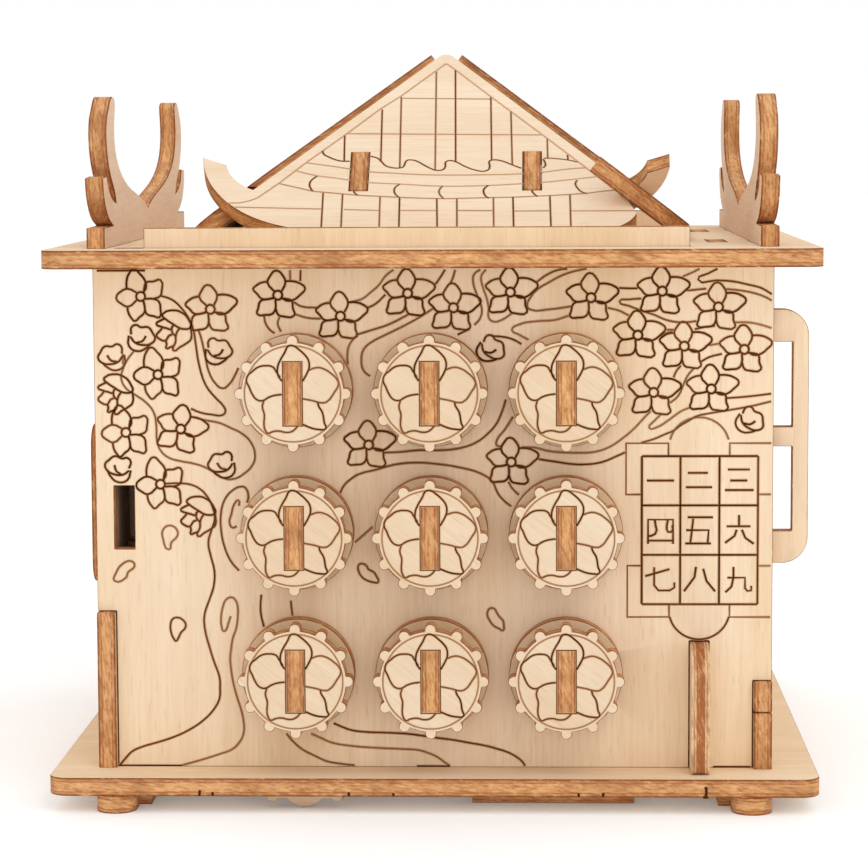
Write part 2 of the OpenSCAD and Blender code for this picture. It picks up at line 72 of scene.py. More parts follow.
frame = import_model()
MM = 0.001
BODY_OF = {node: body for body, nodes in frame["record"]["behaviour"]["bodies"].items() for node in nodes}


def linear(hex_colour):
    """An sRGB hex colour as linear red, green and blue."""
    parts = [int(hex_colour[i : i + 2], 16) / 255 for i in (1, 3, 5)]
    return tuple(c / 12.92 if c <= 0.04045 else ((c + 0.055) / 1.055) ** 2.4 for c in parts)


def colour(name, description, hex_colour):
    return FloatVectorProperty(
        name=name, description=description, default=linear(hex_colour), subtype="COLOR", size=3, min=0, max=1
    )


def length(name, description, millimetres):
    return FloatProperty(name=name, description=description, default=millimetres * MM, unit="LENGTH", min=0)


class BoxSizes(PropertyGroup):
    ply: length("Plywood", "Thickness of every board", 3.8)
    softening: length("Softened edge", "How far the cut edges are eased", 0.12)
    line: length("Engraved line", "Width of a line and its scorched halo", 0.8)
    lens: length("Line height", "How far the burnt line stands proud", 0.03)
    roof_half: length("Roof foot", "Half the width of the roof's foot", 58.5)
    roof_rise: length("Roof rise", "Height of the roof's peak above the top plate", 44)
    roof_x: length("Roof place", "How far the roof stands to the right", 1.2)
    rib_x: length("Rib place", "From the middle of the ribs to each rib", 18.7)
    rib_off: length("Rib shift", "How far the ribs stand to the right of the roof's middle", 0.8)


class BoxFinishes(PropertyGroup):
    face: colour("Birch face", "Sanded birch veneer", "#F1DABB")
    face_dark: colour("Birch fibre", "Darker fibres of the veneer", "#DAB68A")
    inner: colour("Inner birch", "Veneer of the walls and the works", "#E2C6A2")
    wing: colour("Wing birch", "Veneer of the wings", "#E4C9B0")
    roof: colour("Roof birch", "Pale veneer of the roof", "#F0DBC2")
    dial: colour("Dial birch", "Pale veneer of the dials", "#E6D0B4")
    core: colour("Edge core", "Middle ply at a cut edge", "#D6A06C")
    veneer: colour("Edge veneer", "Outer plies at a cut edge", "#A8683E")
    dark_core: colour("Dark edge core", "Middle ply at the pull key's edge", "#A8683F")
    light_ply: colour("Light edge ply", "Outer plies at the pull key's edge", "#EBC99C")
    char: colour("Edge char", "Charred line along a cut edge", "#74411F")
    burn: colour("Burnt line", "Core of an engraved line", "#3E1E08")
    scorch: colour("Scorched wood", "Halo of an engraved line", "#C8843C")


def sizes():
    return bpy.context.scene.box_sizes


def finishes():
    return bpy.context.scene.box_finishes


# ------------------------------------------------------------------ materials


def add(tree, kind, inputs=None, stops=(), **settings):
    """Adds one node with its settings, the links or plain values of its inputs, and its colour stops."""
    node = tree.nodes.new(kind)
    for name, value in settings.items():
        setattr(node, name, value)
    for name, value in (inputs or {}).items():
        socket = node.inputs[name]
        if isinstance(value, bpy.types.NodeSocket):
            tree.links.new(value, socket)
        else:
            socket.default_value = (*value, 1) if socket.type == "RGBA" else value
    if stops:
        band = node.color_ramp.elements
        while len(band) < len(stops):
            band.new(1)
        for stop, (place, value) in zip(band, stops):
            stop.position = place
            stop.color = (*value, 1) if hasattr(value, "__len__") else (value, value, value, 1)
    return node


def blank_material(name):
    material = bpy.data.materials.new(name)
    material.use_nodes = True
    tree = material.node_tree
    return material, tree, tree.nodes["Principled BSDF"]


# Axis that the fibres of a board follow, and how many degrees the pattern is turned about Y
GRAINS = {"X": ("X", 0), "Y": ("Y", 0), "Z": ("Z", 0), "DIAGONAL": ("X", 38)}


def birch_veneer(name, face, fibre, grain):
    # Rotary-cut birch, sanded and unvarnished: pale and matt, with faint broad bands, fibres along the
    # grain and short darker pores. Real fibres and pores are about 0.1 mm across, too fine to show, so
    # they are drawn 0.7 and 0.45 mm across. The "burn" attribute of an engraved line takes the wood
    # through an orange scorch to dark char.
    material, tree, shader = blank_material(name)
    place = add(tree, "ShaderNodeTexCoord").outputs["Object"]
    along, turn = GRAINS[grain]
    layers = {}
    # Each layer's share of its width that is left along the grain, its width in mm, detail, roughness
    for layer, squeeze, width, detail, rough in (
        ("fibres", 0.05, 0.7, 3, 0.6),
        ("bands", 0.12, 9, 2, 0.5),
        ("pores", 0.09, 0.45, 1, 0.5),
        ("cloud", 0.6, 38, 2, 0.5),
        ("patches", 0.8, 6, 2, 0.5),
    ):
        long = [1 / squeeze if axis == along else 1 for axis in "XYZ"]
        mapped = {"Vector": place, "Rotation": (0, radians(turn), 0), "Scale": long}
        vector = add(tree, "ShaderNodeMapping", mapped, vector_type="TEXTURE").outputs["Vector"]
        pattern = {"Vector": vector, "Scale": 1 / (width * MM), "Detail": detail, "Roughness": rough}
        layers[layer] = add(tree, "ShaderNodeTexNoise", pattern).outputs["Fac"]
    wood = face
    cloudy = tuple((c + w) / 2 for c, w in zip(fibre, (1, 0.92, 0.82)))
    pore = tuple(c * 0.75 for c in fibre)
    for layer, stops, tone in (
        ("fibres", [(0.3, 0), (0.75, 0.45)], fibre),
        ("bands", [(0.35, 0), (0.7, 0.4)], fibre),
        ("cloud", [(0.4, 0), (0.7, 0.35)], cloudy),
        ("pores", [(0.62, 0), (0.76, 0.25)], pore),
    ):
        share = add(tree, "ShaderNodeValToRGB", {"Fac": layers[layer]}, stops).outputs["Color"]
        wood = add(tree, "ShaderNodeMix", {0: share, 6: wood, 7: tone}, data_type="RGBA").outputs[2]
    # From the inside out: char with lighter patches, scorched wood round it, and plain wood
    burn = add(tree, "ShaderNodeAttribute", attribute_name="burn").outputs["Fac"]
    burnt = linear("#6E3A12")
    for factor, stops, under in (
        (layers["patches"], [(0.35, 0), (0.7, 0.7)], tuple(finishes().burn)),
        (burn, [(0.62, 0), (0.84, 1)], tuple(finishes().scorch)),
        (burn, [(0, 0), (0.35, 0.3), (0.66, 0.6), (0.82, 1)], wood),
    ):
        share = add(tree, "ShaderNodeValToRGB", {"Fac": factor}, stops).outputs["Color"]
        burnt = add(tree, "ShaderNodeMix", {0: share, 6: under, 7: burnt}, data_type="RGBA").outputs[2]
    tree.links.new(burnt, shader.inputs["Base Color"])
    rough = add(tree, "ShaderNodeValToRGB", {"Fac": layers["fibres"]}, [(0.2, 0.62), (0.8, 0.74)])
    tree.links.new(rough.outputs["Color"], shader.inputs["Roughness"])
    shader.inputs["Specular IOR Level"].default_value = 0.06
    bump = add(tree, "ShaderNodeBump", {"Strength": 0.25, "Distance": 0.00008, "Height": layers["fibres"]})
    tree.links.new(bump.outputs["Normal"], shader.inputs["Normal"])
    return material


def laser_cut_edge(name, core, veneer, char):
    # The cut edge of three-ply birch, browned by the laser: a mottled core between two outer plies, and
    # a charred line at each outer face. The mottle is the open ends of fibres, drawn 0.8 mm across so
    # that it shows. "ply" runs from -1 to 1 through the board, and "burn" chars a nick.
    material, tree, shader = blank_material(name)
    place = add(tree, "ShaderNodeTexCoord").outputs["Object"]
    ply = add(tree, "ShaderNodeAttribute", attribute_name="ply").outputs["Fac"]
    burn = add(tree, "ShaderNodeAttribute", attribute_name="burn").outputs["Fac"]
    # The mottle is drawn out along the board and changes quickly from ply to ply
    drift = add(tree, "ShaderNodeMath", {0: ply, 1: 1.2 * MM}, operation="MULTIPLY").outputs[0]
    drawn_out = {0: place, 1: (0.35, 0.35, 0.35), 2: drift}
    drawn_out = add(tree, "ShaderNodeVectorMath", drawn_out, operation="MULTIPLY_ADD").outputs[0]
    layers = {"burn": burn}
    # Each layer's coordinates, width in mm, detail and roughness
    for layer, vector, width, detail, rough in (
        ("wobble", place, 5, 2, 0.5),
        ("mottle", drawn_out, 0.8, 5, 0.75),
        ("patches", place, 9, 3, 0.5),
        ("grit", place, 0.5, 2, 0.5),
    ):
        pattern = {"Vector": vector, "Scale": 1 / (width * MM), "Detail": detail, "Roughness": rough}
        layers[layer] = add(tree, "ShaderNodeTexNoise", pattern).outputs["Fac"]
    across = add(tree, "ShaderNodeMath", {0: ply}, operation="ABSOLUTE").outputs[0]
    shifted = {0: layers["wobble"], 1: 0.12, 2: across}
    shifted = add(tree, "ShaderNodeMath", shifted, operation="MULTIPLY_ADD").outputs[0]
    outer = tuple(0.6 * c + 0.4 * v for c, v in zip(core, veneer))
    plies = [(0, core), (0.5, core), (0.6, veneer), (0.7, outer), (0.82, outer), (0.9, veneer), (0.99, char)]
    wood = add(tree, "ShaderNodeValToRGB", {"Fac": shifted}, plies).outputs["Color"]
    for layer, stops, tone in (
        ("mottle", [(0.47, 0), (0.66, 0.8)], linear("#96582E")),
        ("mottle", [(0.34, 0.65), (0.47, 0)], linear("#E8BC88")),
        ("patches", [(0.45, 0), (0.68, 0.5)], linear("#8C5430")),
        ("burn", [(0.3, 0), (0.75, 1)], tuple(finishes().burn)),
    ):
        share = add(tree, "ShaderNodeValToRGB", {"Fac": layers[layer]}, stops).outputs["Color"]
        wood = add(tree, "ShaderNodeMix", {0: share, 6: wood, 7: tone}, data_type="RGBA").outputs[2]
    tree.links.new(wood, shader.inputs["Base Color"])
    shader.inputs["Roughness"].default_value = 0.72
    shader.inputs["Specular IOR Level"].default_value = 0.08
    bump = add(tree, "ShaderNodeBump", {"Strength": 0.4, "Distance": 0.00012, "Height": layers["grit"]})
    tree.links.new(bump.outputs["Normal"], shader.inputs["Normal"])
    return material


def studio_floor(name):
    # Matt white floor with a painted glow: it gives off a faint bluish light of its own, which lifts the shadows
    # on it and lights the box from below. It is even, with no gloss, and has clouds of a faintly darker tone 40 mm
    # across.
    material, tree, shader = blank_material(name)
    place = add(tree, "ShaderNodeTexCoord").outputs["Object"]
    clouds = {"Vector": place, "Scale": 1 / (40 * MM), "Detail": 1, "Roughness": 0.5}
    clouds = add(tree, "ShaderNodeTexNoise", clouds).outputs["Fac"]
    tone = add(tree, "ShaderNodeValToRGB", {"Fac": clouds}, [(0.3, 0.93), (0.7, 0.95)]).outputs["Color"]
    tree.links.new(tone, shader.inputs["Base Color"])
    shader.inputs["Roughness"].default_value = 0.95
    shader.inputs["Specular IOR Level"].default_value = 0.0
    # Painted glow: a faint emission lifts the shadows on the floor and lights the box's underside. Its bluish tint
    # offsets the warm light bounced off the wood.
    shader.inputs["Emission Color"].default_value = (0.86, 0.93, 1, 1)
    shader.inputs["Emission Strength"].default_value = 0.14
    return material


_made = {}


def wood_for(kind, grain):
    """The veneer of one finish and grain direction, made once."""
    look = finishes()
    names = {
        "face": ("Sanded birch veneer", look.face),
        "inner": ("Unsanded birch veneer", look.inner),
        "wing": ("Toned birch veneer", look.wing),
        "roof": ("Pale birch veneer", look.roof),
        "dial": ("Fine pale birch veneer", look.dial),
    }
    if (kind, grain) not in _made:
        title, face = names[kind]
        fibre = tuple(f * d / max(b, 0.01) for f, d, b in zip(face, look.face_dark, look.face))
        _made[kind, grain] = birch_veneer(f"{title} {grain.lower()}", tuple(face), fibre, grain)
    return _made[kind, grain]


def edge_wood(palette):
    """The cut edge of one palette, made once: a light core, or a dark core between light plies."""
    look = finishes()
    palettes = {
        "light core": ("Laser-cut plywood edge", look.core, look.veneer, look.char),
        "dark core": ("Dark-cored plywood edge", look.dark_core, look.light_ply, look.light_ply),
    }
    if palette not in _made:
        title, *tones = palettes[palette]
        _made[palette] = laser_cut_edge(title, *(tuple(tone) for tone in tones))
    return _made[palette]


# ------------------------------------------------------------------ boards


# Edges that turn by more than this are cut edges
SHARP = radians(32)
# A face that points along a board's thickness by more than this share is veneer
VENEER = 0.85


def board(node, axis, kind="face", grain="Z", middles=None, edge="light core"):
    """Stands a finely cut board in for one CAD node: eased edges, veneer faces and banded cut edges.

    The middles are the places along the thickness axis of the middle of each sheet in the node."""
    axis = Vector(axis).normalized()
    mesh = frame["nodes"][node].data.copy()
    mesh.name = "cut_" + node
    piece = bpy.data.objects.new("cut_" + node, mesh)
    bpy.context.scene.collection.objects.link(piece)
    if middles is None:
        low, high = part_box(node)
        middles = [(low.dot(axis) + high.dot(axis)) / 2]
    half = sizes().ply / 2
    work = bmesh.new()
    work.from_mesh(mesh)
    bmesh.ops.remove_doubles(work, verts=work.verts, dist=2e-6)
    bmesh.ops.dissolve_limit(
        work, angle_limit=radians(0.4), verts=work.verts, edges=work.edges, use_dissolve_boundaries=False
    )
    sharp = [e for e in work.edges if len(e.link_faces) == 2 and e.calc_face_angle(0) > SHARP]
    bmesh.ops.bevel(
        work, geom=sharp, offset=sizes().softening, offset_type="OFFSET", affect="EDGES",
        segments=1, profile=0.5, material=-1, clamp_overlap=True,
    )
    bmesh.ops.recalc_face_normals(work, faces=work.faces)
    ply = work.verts.layers.float.new("ply")
    for v in work.verts:
        across = v.co.dot(axis)
        nearest = min(middles, key=lambda m: abs(across - m))
        v[ply] = max(-1.0, min(1.0, (across - nearest) / half))
    for face in work.faces:
        face.material_index = 0 if abs(face.normal.dot(axis)) > VENEER else 1
        face.smooth = True
    mesh.materials.clear()
    mesh.materials.append(wood_for(kind, grain))
    mesh.materials.append(edge_wood(edge))
    work.to_mesh(mesh)
    work.free()
    mesh.set_sharp_from_angle(angle=SHARP)
    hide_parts(node)
    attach(piece, BODY_OF[node])


# ------------------------------------------------------------------ engraving


def pairs(numbers):
    """A flat run of numbers as points in millimetres."""
    return [(numbers[i], numbers[i + 1]) for i in range(0, len(numbers), 2)]


def ring(x, y, radius, count=12):
    """A closed ring. It is drawn as a stroke whose last point meets its first."""
    return [(x + radius * cos(2 * pi * k / count), y + radius * sin(2 * pi * k / count)) for k in range(count + 1)]


def part_ring(x, y, radius, start, end, count=10):
    steps = [radians(start + (end - start) * k / count) for k in range(count + 1)]
    return [(x + radius * cos(a), y + radius * sin(a)) for a in steps]


def placed(strokes, x, y, turn=0.0, flip=1):
    """Strokes turned, mirrored and moved to a place on the board."""
    c, s = cos(radians(turn)), sin(radians(turn))
    return [[(x + flip * (c * u - s * v), y + s * u + c * v) for u, v in stroke] for stroke in strokes]


# By how much a stroke is thinner than the last one, as a share of its width
STROKE_STEP = 0.015
# Where through the board a nick takes its wood from
NICK_PLY = 0.8


def engrave(name, node, groups, plane, on_edge=False):
    """Burns lines on a board: round strokes, flattened to a thin lens on the board's face.

    Each group has strokes, how strongly they are burnt, whether they are smooth or straight, and their
    share of a line's width."""
    piece = bpy.data.objects[f"cut_{node}"]
    radius = sizes().line / 2
    made = []
    for number, (strokes, strength, smooth, width) in enumerate(groups):
        data = bpy.data.curves.new(f"{name}_{number}", "CURVE")
        data.dimensions = "3D"
        data.bevel_depth = radius * width
        data.bevel_resolution = 1
        data.resolution_u = 3 if smooth else 1
        data.use_fill_caps = True
        for count, points in enumerate(strokes):
            # Strokes that share a path differ a little in size, so that none lie in one another
            radius_share = 1 - STROKE_STEP * (count % 4)
            closed = len(points) > 2 and (Vector(points[0]) - Vector(points[-1])).length < 1e-6
            kept = points[:-1] if closed else points
            if smooth:
                spline = data.splines.new("BEZIER")
                spline.bezier_points.add(len(kept) - 1)
                for knot, (u, v) in zip(spline.bezier_points, kept):
                    knot.co = (u * MM, v * MM, 0)
                    knot.handle_left_type = knot.handle_right_type = "AUTO"
                    knot.radius = radius_share
            else:
                spline = data.splines.new("POLY")
                spline.points.add(len(kept) - 1)
                for knot, (u, v) in zip(spline.points, kept):
                    knot.co = (u * MM, v * MM, 0, 1)
                    knot.radius = radius_share
            spline.use_cyclic_u = closed
        curve = bpy.data.objects.new(data.name, data)
        bpy.context.scene.collection.objects.link(curve)
        bpy.context.view_layer.update()
        drawn = curve.evaluated_get(bpy.context.evaluated_depsgraph_get())
        mesh = bpy.data.meshes.new_from_object(drawn)
        bpy.data.objects.remove(curve)
        bpy.data.curves.remove(data)
        made.append((mesh, strength, radius * width))
    work = bmesh.new()
    work.from_mesh(piece.data)
    burn = work.verts.layers.float.get("burn") or work.verts.layers.float.new("burn")
    ply = work.verts.layers.float.get("ply")
    for mesh, strength, tube in made:
        before = len(work.verts)
        work.from_mesh(mesh)
        work.verts.ensure_lookup_table()
        for v in work.verts[before:]:
            rise = v.co.z / tube
            v[burn] = max(0.0, rise) * strength
            v[ply] = NICK_PLY
            v.co = plane @ Vector((v.co.x, v.co.y, rise * sizes().lens * strength))
        bpy.data.meshes.remove(mesh)
    for face in work.faces:
        if any(v[burn] > 0 for v in face.verts):
            face.material_index = 1 if on_edge else 0
            face.smooth = True
    work.to_mesh(piece.data)
    work.free()


def front_plane(y_mm, x_mm=0.0, z_mm=0.0):
    """Drawing plane that faces the front: u runs right, v up, and height towards the front."""
    return Matrix(((1, 0, 0, x_mm * MM), (0, 0, -1, y_mm * MM), (0, 1, 0, z_mm * MM), (0, 0, 0, 1)))


# ------------------------------------------------------------------ drawn patterns, in millimetres

# Blossom seen from the front, about its middle
BLOSSOM = [ring(0, 0, 0.93, 8)] + [
    pairs(p)
    for p in (
        (-0.65, 0.75, -2.1, 2.6, -1.6, 3.9, -0.3, 5.1, 1.2, 3.9, 1.6, 2.6, 0.8, 0.8),
        (1.7, 2.9, 3.1, 2.9, 4.7, 2.4, 5.7, 1.4, 4.7, 0.1, 3.2, -1, 1.7, -1.1, 1, -0.6),
        (-2.3, 2.8, -3.4, 2.6, -4.6, 1.9, -5.1, 1.3, -4.3, 0.3, -3.4, -0.7, -2.1, -0.8, -0.9, -0.5),
        (-0.9, -0.6, -1.9, -0.8, -3.6, -1.2, -4.1, -2.7, -4.3, -3.9, -2.6, -4.1, -1.1, -3.8, -0.5, -2.7,
         -0.5, -1),
        (-0.5, -2.6, 0.1, -4.1, 1.1, -4.4, 3.4, -4.2, 3.1, -2.7, 2.9, -1.2, 1.9, -0.8, 0.7, -0.7),
    )
]
BLOSSOMS = pairs(
    (-32.1, 107.1, -19.1, 102.7, -5.1, 107.4, 4.4, 104.4, 16.2, 107.6, 32.9, 106.4, 47.6, 107.7, 59.2,
     104.4)
    + (42.6, 98.6, 52.2, 96.3, 64.6, 95.6, 45.9, 86.7, 57.8, 87.4, -13.4, 75.8, 16.3, 72.2)
)
TURNED_BLOSSOMS = (
    (-46.2, 104.2, 3), (-52.7, 79.2, -10), (-60.7, 106.9, 90), (-57.3, 90.6, 90), (-64.2, 78.5, 90),
     (-57.1, 67.6, 90)
)
# Blossom seen from the side
SIDE_BLOSSOM = [
    pairs(p)
    for p in (
        (-2.3, 3, 0.3, 3.7, 1.7, 3.2, 2.5, 2.6, 3.3, 1.3, 3.6, 0.5, 3.3, 0, 2.2, -0.2, 1.2, 0, 0, 0.7,
         -1.9, 2,
         -2.4, 2.5, -2.3, 3),
        (3.5, 0, 3.5, -2.3, 2.5, -3.2, 1.1, -4, -0.1, -4.7, -0.3, -4, 0, -3.5, 0.3, -2.7, 0.3, -1.8,
         0.6, -0.8, 1.2, 0),
        (-1.9, 2, -3, 1.5, -3.7, 0.9, -2.7, 0.3, -1.6, 0, -0.6, -0.2, -0.4, 0.3, 0, 0.6),
        (-2.5, 0, -3.1, -0.7, -3.7, -1.5, -3, -2.3, -1.8, -2.6, -1.5, -2.2, -1.1, -1.6, -0.4, -1.3),
        (-1.8, -2.6, -1.6, -3.4, -1.7, -4.2, -0.9, -4, -0.1, -3.7),
        (-0.5, -0.2, -0.4, -0.9, 0.2, -1.6),
    )
]
SIDE_BLOSSOMS = ((-53.8, 100.3), (-66.2, 87), (-49.2, 61.3))
BUD = [
    pairs(p)
    for p in (
        (-2.2, 0.7, -2.1, 2.2, -1.1, 2.7, -0.2, 2.2, 1.4, 2.2, 2.3, 1, 2.8, -0.2, 1.8, -1.3, 0.3, -1.5,
         -1.4, -1, -2.4, 0.3),
        (-2.7, 0.5, -2.7, -1.7, -0.9, -2.8, 1.1, -2, 1.8, -1.3),
        (0.9, 0.4, 0.1, -0.7, -1.1, -1),
    )
]
# Place, turn and mirroring of each bud
BUDS = (
    (-60.6, 98.3, 0, 1), (-44.5, 95.5, 0, 1), (-67, 94.3, 0, -1), (-44.3, 71.7, 0, -1),
    (-66, 71, 20, -1), (12.3, 95.7, -25, 1), (66, 80.7, -25, 1),
)
BRANCHES = [
    pairs(p)
    for p in (
        # left branches
        (-56.7, 107.1, -54.3, 106.3, -52.7, 105, -50.7, 102.3, -49.8, 100, -49.3, 96.7, -48.7, 92.7,
         -47.3, 88.3,
         -45.3, 85.7, -43.7, 84, -43.3, 82.8, -44, 82.1, -46, 82.2, -48.7, 82.7, -50.5, 83.5),
        (-48.7, 99.8, -48.2, 98.3, -47.3, 94, -46.7, 91.3, -45.3, 88.7, -43.8, 87.7, -42.5, 88.5, -41.3,
         90.3, -40.5, 92),
        (-62.3, 95.5, -63.7, 93.7, -64.8, 91.3, -65, 89.7, -64, 87.7, -62, 86.3, -59.8, 84.7, -58.3,
         82.7, -57.8, 80,
         -57.7, 76.7, -57, 74.7, -55.3, 73.2, -53, 72.5, -50.3, 72, -48, 71.3, -45.7, 70, -43.7, 68.8,
         -41.7, 68.7,
         -39.7, 69.7, -37.7, 71.7, -37.2, 73.7, -38, 76.3, -40, 78.3, -42, 79.3, -44.7, 80.5, -47.3, 81,
         -50.2, 81.7),
        (-64.6, 95, -64.6, 92.7),
        # trunk
        (-56.2, 67.7, -53, 67.8, -50.7, 67.5, -48.7, 66.5, -47.2, 64.8, -46.2, 62.7, -45.8, 60.3, -46.5,
         58,
         -47.2, 55.3, -46.7, 52.3, -46, 49.3, -46.2, 46, -47.2, 43, -48.2, 40, -48.2, 37.3, -47.2, 33,
         -46.2, 29.7,
         -45.2, 26.7, -45.1, 24.7, -45.3, 22, -46.5, 19.8, -48.7, 17.5, -52, 15.3, -55.3, 13.8, -58.7,
         12.7,
         -62, 11.7, -64, 10.7, -65.3, 9.3, -66.5, 7.9),
        (-39, 63.7, -38.7, 65, -39.2, 66.7, -40, 67.1, -42, 66.3, -43.7, 64.3, -44.5, 61.3, -44.5, 58,
         -43.8, 54.3,
         -42.5, 51.3, -40.8, 49.3),
        (-40.7, 63, -40.8, 64.2, -41.5, 63.7, -42.3, 61.3, -42.7, 59.3, -42, 58.4, -41.2, 58.8),
        (-42.7, 39.7, -43.2, 38.2, -43.7, 36.8, -44.2, 36.5, -44.6, 37.3, -44.7, 39.7, -44.3, 41.7,
         -43.7, 43.1,
         -42.5, 43.7, -41.6, 43, -41.2, 41.7, -41.2, 39.7, -41.6, 37, -42.3, 35, -42.7, 32.7, -42.9,
         30.7, -42.7, 28,
         -42.2, 25, -41.5, 22.3, -40.7, 19.7, -40.2, 17, -40.2, 15, -41, 13, -42.7, 11.3, -45.3, 10.3,
         -50, 8.8,
         -53.3, 7.9),
        (-36.2, 44.3, -36.4, 41.7, -36.3, 40, -35.7, 37.4),
        (-30, 43, -29.7, 39.8),
        # roots
        (-31.2, 14.7, -30, 13.2, -27.7, 11.2, -25.3, 10, -22.7, 8.8, -20, 8.3, -16.8, 7.9),
        (-26, 14.7, -24, 13.8, -21.7, 12.8, -17.7, 12.1, -12.7, 11.7, -6, 11.4, -3.3, 11.2, -1.3, 10.6,
         0.7, 9.7,
         2.3, 8.5, 3.3, 7.9),
        (-21.2, 16.9, -19.3, 16.1, -17.7, 15.5, -15, 15.1, -10, 14.9, -6, 14.7, -2.7, 14.3, 0.7, 13.8,
         4, 13.4,
         7.3, 12.8, 10.7, 12.2, 13.3, 11.5, 15.7, 10.7, 17.3, 9.8, 18.5, 8.8, 19.1, 7.9),
        # top branches
        (-35, 102.8, -34.7, 101.3, -33.7, 99.8, -32.8, 99.2),
        (-31.8, 102.5, -32.2, 101.3, -31.5, 99.5),
        (-29.5, 112.3, -29.5, 110.3),
        (-27.3, 112.3, -27.4, 110),
        (-28.8, 105.7, -27.3, 104.8, -24, 104.5),
        (-28.7, 103.2, -26, 102.4, -23.2, 102.2),
        (-16.8, 105.7, -14.7, 106.2, -12.7, 107.7, -11, 109.2, -9.7, 111, -8, 112.3),
        (-13.7, 104.3, -11.7, 105.3, -9.7, 107.2),
        (-16, 98.8, -12.7, 99.8, -9, 101, -6, 102.5, -4.7, 103.2),
        (-13, 90.2, -14.3, 91.3, -14.8, 93.7, -14.3, 95.8, -12.7, 97.3, -10, 98.7, -7.3, 100, -4, 101.7,
         -1.3, 103.3,
         0.2, 104.3),
        (-16, 98.5, -17.3, 96.7, -17.7, 94.3, -17.6, 92.7),
        (2.7, 112.3, 1.7, 110.7, 0.7, 109.3),
        (4.8, 112.3, 4.2, 110.3, 3.7, 109.3),
        (10, 112.3, 8.7, 111.3, 8.5, 109.7, 9.2, 107.3, 10, 105.3, 10.3, 103.7, 9.8, 102, 8.7, 100.8),
        (11.2, 112.3, 10.2, 111, 10.5, 108.7, 11.2, 106.7, 11.7, 104.3, 11.7, 102.3, 12.7, 101.5, 14.3,
         101.8,
         16.5, 103.2),
        (5.2, 98.8, 7.7, 100),
        (21.7, 109.7, 24, 111.3, 26.3, 112.2, 28, 112.4),
        (32, 112.4, 30, 112, 27.3, 111.2, 24, 109.5, 22, 108.3, 20.5, 106.7, 19.7, 104.7, 20.3, 104, 24,
         104,
         28.7, 104.6),
        (28.3, 102.7, 25.3, 101.8, 22, 101.6, 17.7, 100.8, 16.5, 99.8, 18, 98.8, 20, 97.7),
        (12.3, 98.5, 15, 98.3, 17, 97.7, 18.5, 96.8),
        # middle branches
        (15.2, 85.3, 14.5, 83, 13.3, 80.3, 11.3, 78, 9, 76.3, 6, 75.2, 2.3, 74.7, -2.7, 74.7, -7.3,
         74.3, -10.3, 74.2),
        (16.7, 81.7, 15, 79, 13.3, 76.7, 13.3, 75.7, 14.5, 75.5),
        (18.5, 75.3, 21.3, 75.2, 24, 74.5, 27, 74.2, 30.3, 74.1, 33.7, 74.3, 36.7, 75.3, 39.3, 77, 42,
         79.3, 44, 81.5,
         45.3, 82.8),
        (22, 72.8, 25.3, 72.3, 28.7, 71.8, 32, 71.7, 35.3, 72.2, 38, 73.3, 40, 74.2),
        (-19.4, 65.7, -19, 66.7, -18.2, 67.8, -17, 68.8, -15.5, 69.7, -12, 70.6, -8, 71.7, -3.7, 72.1,
         1, 71.8,
         6, 71, 10, 69.8, 12.3, 68.2, 13.5, 65.7, 14.7, 64.2, 16.3, 62.9),
        (15.7, 68.1, 16.5, 66.7, 17.9, 65.3),
        (-16.4, 55.3, -12.7, 58.6),
        # right branches
        (38.7, 108.4, 40.7, 108.3, 42.5, 108.3),
        (43.3, 106.2, 40.7, 106, 38.8, 105.6, 40.7, 104.7, 43.3, 103.7, 46, 102.8, 48.3, 101.8, 50.7,
         101.3, 53, 101.3,
         54.7, 101.5),
        (36.3, 104.3, 38.7, 103.7, 40.7, 102.7),
        (51.8, 110.7, 53.7, 111.5, 55.3, 112.3),
        (59, 112.3, 57, 111.3, 55, 110.1, 58.7, 109.9, 62, 109.7, 65.3, 109, 68, 108.3, 70.2, 107),
        (52.7, 107.8, 54.7, 108, 56.7, 108.2),
        (60.8, 108.1, 63.7, 107.8, 66.7, 107.2, 68.7, 106.5, 70.2, 105.7),
        (62.7, 101.2, 65.3, 101.2, 68, 100.7, 70.2, 100),
        (54.3, 99.8, 56.7, 100.3, 58.5, 100.5),
        (48.5, 99.7, 50, 99.7),
        (47.3, 98.2, 48.3, 99, 49.7, 99.3),
        (57.3, 96.5, 59.3, 96.8),
        (55.7, 93.1, 57.3, 94, 60, 94.7),
        (51.5, 92.3, 50.5, 91, 50, 89.8),
        (54.3, 91.8, 53, 90.3, 52.2, 88.7, 51, 86, 49.3, 84.5),
        (47.5, 82.2, 46, 80.7, 45, 79.3, 46.7, 79.5, 48.7, 80.7, 50.7, 82.2, 52, 83, 53.3, 83.5),
        (61, 85.5, 64, 85.7, 67, 86, 70.2, 86.4),
        (43.3, 76.2, 46, 77, 48.3, 78, 50, 78.7, 51.3, 79.7, 53, 80.7, 54.7, 81.7, 57.3, 82.3, 60.3,
         82.8, 63.3, 83.3,
         66, 83.8, 70.2, 84.8),
    )
]
